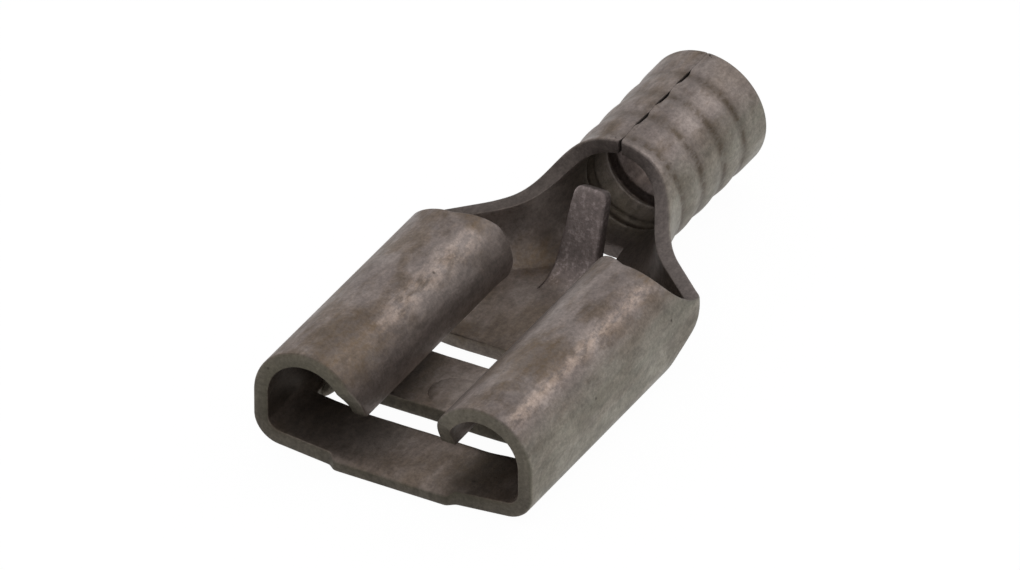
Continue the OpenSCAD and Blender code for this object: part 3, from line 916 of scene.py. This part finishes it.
# Painted shade for the hollows and the rolls' turned-in undersides.
SHADE_TONE = (0.060, 0.046, 0.034)
# Painted shade in the creases of the barrel.
CREASE_SHADE = (0.085, 0.062, 0.042)
# Cut faces at the mouth: their own dark tone, with painted shade low down and painted light higher up.
MOUTH_CUT = ((0.072, 0.066, 0.048), (0.122, 0.112, 0.083))
# Cut faces in the neck: painted shade on the left, painted light on the right.
NECK_CUT = ((0.092, 0.075, 0.067), (0.175, 0.148, 0.139))
TAB = (0.300, 0.247, 0.243)
TAB_SPECK = (0.450, 0.375, 0.370)
PIT = (0.034, 0.026, 0.019)

# Attributes of the mesh that the finish follows.
MASKS = ("cut_edge", "inner_face", "tongue", "upward", "flank", "painted_highlight", "painted_shade", "valley")


def tarnish_group():
    """Patterns of handled, dulled plating, each between 0 and 1."""
    inputs = [(name, "Float") for name in ("Blotches", "Streaks", "Grain")]
    names = ("Blotch", "Brown", "Streak", "Mottle", "Grain", "Pit")
    go, given, ready = new_group("ShaderNodeTree", "tarnish", inputs, [(name, "Float") for name in names])
    where = go.node("ShaderNodeTexCoord").outputs["Object"]
    along = go.node("ShaderNodeVectorMath", where, STREAK_STRETCH, operation="MULTIPLY").outputs[0]
    drawn = go.node("ShaderNodeVectorMath", where, BROWN_STRETCH, operation="MULTIPLY").outputs[0]
    go.put(go.ramp(go.noise(where, given["Blotches"], 4, 0.6), 0.34, 0.66), ready["Blotch"])
    brown = go.noise(drawn, go.scaled(given["Blotches"], 1.9), 7, 0.66, 4.7)
    go.put(go.ramp(brown, 0.44, 0.62), ready["Brown"])
    go.put(go.ramp(go.noise(along, given["Streaks"], 5, 0.66, 2.1), 0.36, 0.64), ready["Streak"])
    mottle = go.noise(drawn, go.scaled(given["Grain"], 0.45), 4, 0.7, 6.4)
    go.put(go.ramp(mottle, 0.33, 0.67), ready["Mottle"])
    go.put(go.ramp(go.noise(where, given["Grain"], 2, 0.75, 8.3), 0.3, 0.7), ready["Grain"])
    cell = go.node("ShaderNodeTexVoronoi")
    go.put(where, cell.inputs["Vector"])
    go.put(go.scaled(given["Blotches"], 1.8), cell.inputs["Scale"])
    chance = go.node("ShaderNodeSeparateColor", cell.outputs["Color"]).outputs[0]
    reach = go.math("ADD", cell.outputs["Distance"], go.scaled(chance, 0.12))
    go.put(go.ramp(reach, 0.1, 0.04), ready["Pit"])
    return go.tree


def mark_group():
    """One mark about a centre, with a ragged edge."""
    inputs = [("Centre", "Vector"), ("Radius", "Float"), ("Stretch", "Vector")]
    go, given, ready = new_group("ShaderNodeTree", "mark", inputs, [("Mark", "Float")])
    where = go.node("ShaderNodeTexCoord").outputs["Object"]
    off = go.node("ShaderNodeVectorMath", where, given["Centre"], operation="SUBTRACT").outputs[0]
    off = go.node("ShaderNodeVectorMath", off, given["Stretch"], operation="MULTIPLY").outputs[0]
    away = go.node("ShaderNodeVectorMath", off, operation="LENGTH").outputs["Value"]
    share = go.math("DIVIDE", away, given["Radius"])
    ragged = go.math("SUBTRACT", go.noise(where, RAGGED, 3, 0.6, 1.3), 0.5)
    share = go.math("MULTIPLY_ADD", ragged, 1.5, share)
    go.put(go.ramp(share, 1.15, 0.35), ready["Mark"])
    return go.tree


def worn_height_group():
    """Height of the worn surface, from the same patterns; pits lie below nought."""
    inputs = [(name, "Float") for name in ("Streak", "Mottle", "Grain", "Pit", "Cut")]
    go, given, ready = new_group("ShaderNodeTree", "worn_height", inputs, [("Height", "Float")])
    soft = go.math("ADD", go.scaled(given["Streak"], 0.25), go.scaled(given["Mottle"], 0.35))
    fine = go.math("MULTIPLY", given["Grain"], go.math("MULTIPLY_ADD", given["Cut"], 0.3, 0.2))
    even = go.math("ADD", soft, fine)
    go.put(go.math("SUBTRACT", even, go.scaled(given["Pit"], 0.6)), ready["Height"])
    return go.tree


# Marks: centre and radius in mm, and a share below 1 for each way in which a mark is drawn out.
STAINS = (
    ((-1.9, 1.1, 2.9), 1.1, (1, 0.6, 1)),
    ((2.5, 2.6, 2.9), 0.85, (1, 0.6, 1)),
    ((2.5, 1.3, 3.0), 0.3, (0.7, 1, 1)),
    ((-1.35, 9.6, 0.6), 0.8),
    ((1.9, 1.1, 0.4), 0.9),
    ((2.9, 7.3, 2.8), 0.5),
    ((-0.5, 9.2, 0.5), 0.45),
    ((-1.5, 6.2, 0.4), 0.45),
    ((-1.8, 7.3, 2.8), 0.5),
)
# Painted light: pale spots where light pools on the floor and neck and highlights fall on the barrel.
PAINTED_LIGHT_SPOTS = (
    ((-1.1, 1.4, 0.4), 1.2),
    ((0.0, 3.5, 0.9), 1.0),
    ((-1.0, 8.3, 0.4), 0.6),
    ((-1.5, 10.5, 1.6), 0.8),
    ((3.0, 0.9, 0.6), 0.6),
    ((0.9, 15.4, 3.2), 1.0),
    ((1.2, 12.6, 2.7), 0.6),
)


def marks_at(go, tree, places):
    """The strongest of several marks."""
    strongest = 0.0
    for centre, radius, *stretch in places:
        mark = go.node("ShaderNodeGroup", node_tree=tree)
        mark.inputs["Centre"].default_value = [c * MM for c in centre]
        mark.inputs["Radius"].default_value = radius * MM
        mark.inputs["Stretch"].default_value = stretch[0] if stretch else (1, 1, 1)
        strongest = go.math("MAXIMUM", mark.outputs[0], strongest)
    return strongest


def inside_tone(go, y, rightward):
    """Tone of the strip's inside, from the mouth through the neck to the end of the bore: its own tarnish,
    with painted shade on the right of the neck and deep in the bore.
    """
    neck = go.tint(rightward, *INSIDE_NECK)
    tone = go.tint(go.ramp_mm(y, 8.2, 9.2), INSIDE_MOUTH, neck)
    tone = go.tint(go.ramp_mm(y, 11.2, 11.8), tone, INSIDE_BARREL)
    return go.tint(go.ramp_mm(y, 12.6, 13.2), tone, DEEP_BORE_SHADE)


def cut_tone(go, y, z, rightward):
    """Tone of the cut edges: their own dark tone, darkest low at the mouth and lightest on the right of the
    neck, by painted shade and painted light.
    """
    lit = go.math("MAXIMUM", go.ramp_mm(z, 0.6, 2.2), go.ramp_mm(y, 1.5, 2.2))
    return go.tint(go.ramp_mm(y, 6, 8), go.tint(lit, *MOUTH_CUT), go.tint(rightward, *NECK_CUT))


def wear_and_painted_light_color(go, marks, masks):
    """The metal's colour: plating, then its tarnish, wear and dirt, with painted reflection, highlights,
    light and shade, one over the other.
    """
    x, y, z = go.node("ShaderNodeSeparateXYZ", go.node("ShaderNodeTexCoord").outputs["Object"]).outputs
    rightward = go.ramp_mm(x, -1.2, 1.2)
    mark_tree = mark_group()
    mottled = go.ramp(marks["Mottle"], 0.1, 0.9)

    plating = go.tint(marks["Blotch"], *PLATING)
    # Painted reflection: a greenish tint on the sides that face across.
    color = go.tint(go.ramp(masks["flank"], 0.62, 1.0), plating, go.tint(marks["Blotch"], *GREEN_REFLECTION))
    lying = go.math("MULTIPLY_ADD", go.ramp(masks["upward"], 0.2, 0.9), 0.6, 0.15)
    color = go.tint(go.math("MULTIPLY", marks["Brown"], lying), color, BROWN_FILM)
    color = go.tint(go.scaled(marks["Streak"], 0.2), color, STREAK)
    # Painted highlight along the rolls, broken up by the mottle.
    color = go.tint(go.scaled(go.math("MULTIPLY", masks["painted_highlight"], mottled), 0.55), color, HIGHLIGHT_TONE)
    # The inside's own tarnish, with painted shade on the right of the neck and deep in the bore.
    color = go.tint(go.scaled(masks["inner_face"], 0.5), color, inside_tone(go, y, rightward))
    # Painted light: pools of light on the floor and neck, highlights on the barrel.
    color = go.tint(go.scaled(marks_at(go, mark_tree, PAINTED_LIGHT_SPOTS), 0.55), color, PAINTED_LIGHT_TONE)
    speckled = go.math("MULTIPLY_ADD", marks["Mottle"], 0.6, 0.4)
    color = go.tint(go.math("MULTIPLY", marks_at(go, mark_tree, STAINS), speckled), color, STAIN)
    # Painted shade in the hollows and on the rolls' turned-in undersides.
    color = go.tint(go.scaled(masks["painted_shade"], 0.85), color, SHADE_TONE)

    # Painted shade in the barrel's ring creases and inner grooves, stronger on the right.
    deep = go.math("POWER", masks["valley"], 3.0)
    shaded_crease = go.math("MULTIPLY", deep, go.ramp(marks["Mottle"], -0.3, 0.9))
    shaded_crease = go.math("MULTIPLY", shaded_crease, go.math("MULTIPLY_ADD", rightward, 0.5, 0.5))
    color = go.tint(go.scaled(shaded_crease, 0.95), color, CREASE_SHADE)
    color = go.tint(go.scaled(masks["cut_edge"], 0.8), color, cut_tone(go, y, z, rightward))
    specks = go.ramp(go.math("MULTIPLY", marks["Grain"], marks["Mottle"]), 0.3, 0.75)
    color = go.tint(go.scaled(masks["tongue"], 0.6), color, TAB)
    color = go.tint(go.math("MULTIPLY", masks["tongue"], go.scaled(specks, 0.5)), color, TAB_SPECK)

    tone = go.math("MULTIPLY", go.spread(marks["Mottle"], 0.84, 1.16), go.spread(marks["Grain"], 0.86, 1.14))
    color = go.tint(1.0, color, go.node("ShaderNodeCombineColor", tone, tone, tone).outputs[0], "MULTIPLY")
    return go.tint(go.scaled(marks["Pit"], 0.8), color, PIT)


def plated_metal():
    """Tin plating, dulled and stained, with painted reflection, highlights, light and shade in its colour.
    """
    mat = bpy.data.materials.new("plated_metal")
    mat.use_nodes = True
    go = Wiring(mat.node_tree)
    bsdf = go.nodes["Principled BSDF"]
    bsdf.inputs["Metallic"].default_value = 0.8

    tarnish = go.node("ShaderNodeGroup", node_tree=tarnish_group())
    for name, value in PATTERNS.items():
        tarnish.inputs[name].default_value = value
    marks = tarnish.outputs
    masks = {name: go.attribute(name) for name in MASKS}
    go.put(wear_and_painted_light_color(go, marks, masks), bsdf.inputs["Base Color"])

    dulled = go.math("MAXIMUM", masks["cut_edge"], marks["Brown"])
    rough = go.math("MULTIPLY_ADD", dulled, 0.1, go.spread(marks["Blotch"], 0.5, 0.4))
    go.put(rough, bsdf.inputs["Roughness"])

    height = go.node("ShaderNodeGroup", node_tree=worn_height_group())
    for name in ("Streak", "Mottle", "Grain", "Pit"):
        go.put(marks[name], height.inputs[name])
    go.put(masks["cut_edge"], height.inputs["Cut"])
    bump = go.node("ShaderNodeBump")
    bump.inputs["Strength"].default_value = 0.4
    bump.inputs["Distance"].default_value = 0.02 * MM
    go.put(height.outputs[0], bump.inputs["Height"])
    go.put(bump.outputs[0], bsdf.inputs["Normal"])
    return mat


metal = plated_metal()
apply_tree(
    strip,
    press_serrations_tree(metal),
    {
        "First ring": (BARREL_Y + FIRST_RING) * MM,
        "Pitch": RING_PITCH * MM,
        "Last ring": (BARREL_Y + FIRST_RING + (RINGS - 1) * RING_PITCH) * MM,
        "Ring radius": RING_R * MM,
        "Ring depth": RING_D * MM,
        "Wave depth": WAVE_D * MM,
        "Axis height": BARREL_Z * MM,
    },
)
strip.data.name = "folded_strip"
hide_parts("terminal")
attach(strip, "root")

# ---------------------------------------------------------------- studio

MIDDLE = Vector((0, 0.008, 0))
FLOOR_HALF = 0.6
FLOOR_SINK = 0.00002
WHITE = (1, 1, 1, 1)
FLOOR_WHITE = (0.85, 0.85, 0.85, 1)

CAMERA_AROUND = math.radians(29.19)
CAMERA_ABOVE = math.radians(33.87)
CAMERA_DISTANCE = 0.5521
CAMERA_LENS = 800
CAMERA_AIM = Vector((0, 0.009, 0.0014))
AIM_LEFT = 0.001554
AIM_DOWN = 0.000706

def floor_material():
    """White floor: a matte that takes a soft shadow, under a glow for the camera and reflections."""
    mat = bpy.data.materials.new("pale_floor")
    mat.use_nodes = True
    go = Wiring(mat.node_tree)
    go.nodes.clear()
    rays = go.node("ShaderNodeLightPath").outputs
    matte = go.node("ShaderNodeBsdfDiffuse", FLOOR_WHITE).outputs[0]
    glow = go.node("ShaderNodeEmission")
    glow.inputs["Strength"].default_value = 1.04
    share = go.math("MULTIPLY_ADD", rays["Is Glossy Ray"], 0.58, go.scaled(rays["Is Camera Ray"], 0.93))
    mix = go.node("ShaderNodeMixShader", share, matte, glow.outputs[0])
    go.node("ShaderNodeOutputMaterial", mix.outputs[0])
    return mat


def make_floor():
    """A level square, a hair below the terminal."""
    half = FLOOR_HALF
    mesh = bpy.data.meshes.new("floor")
    corners = [(-half, -half, 0), (half, -half, 0), (half, half, 0), (-half, half, 0)]
    mesh.from_pydata(corners, [], [(0, 1, 2, 3)])
    floor = bpy.data.objects.new("floor", mesh)
    floor.location = MIDDLE - Vector((0, 0, FLOOR_SINK))
    floor.data.materials.append(floor_material())
    bpy.context.scene.collection.objects.link(floor)


def make_camera():
    """A long lens, above and to the right of the mouth."""
    around, above = CAMERA_AROUND, CAMERA_ABOVE
    right = Vector((math.cos(around), math.sin(around), 0))
    back = Vector((math.sin(around) * math.cos(above), -math.cos(around) * math.cos(above), math.sin(above)))
    up = back.cross(right)
    aim = CAMERA_AIM - right * AIM_LEFT - up * AIM_DOWN
    data = bpy.data.cameras.new("camera")
    data.lens = CAMERA_LENS
    data.clip_start = 0.01
    camera = bpy.data.objects.new("camera", data)
    turn = Matrix((right, up, back)).transposed().to_4x4()
    camera.matrix_world = Matrix.Translation(aim + back * CAMERA_DISTANCE) @ turn
    bpy.context.scene.collection.objects.link(camera)
    bpy.context.scene.camera = camera


def area_light(name, place, size, power):
    """A soft box that faces the terminal."""
    data = bpy.data.lights.new(name, "AREA")
    data.shape = "RECTANGLE"
    data.size, data.size_y = size
    data.energy = power
    light = bpy.data.objects.new(name, data)
    light.location = place
    light.rotation_euler = (MIDDLE - Vector(place)).to_track_quat("-Z", "Y").to_euler()
    bpy.context.scene.collection.objects.link(light)


def make_light():
    """A white room, brighter to the camera than to the metal, with two soft boxes behind."""
    world = bpy.data.worlds.new("studio")
    world.use_nodes = True
    go = Wiring(world.node_tree)
    sky = go.nodes["Background"]
    sky.inputs["Color"].default_value = WHITE
    seen = go.node("ShaderNodeLightPath").outputs["Is Camera Ray"]
    go.put(go.math("MULTIPLY_ADD", seen, 0.42, 0.58), sky.inputs["Strength"])
    bpy.context.scene.world = world
    area_light("key_box", (0.175, 0.37, 0.3), (0.25, 0.25), 0.2)
    area_light("high_left_box", (-0.35, 0.35, 0.3), (0.3, 0.3), 0.12)


make_floor()
make_camera()
make_light()
bpy.context.scene.view_settings.view_transform = "Standard"
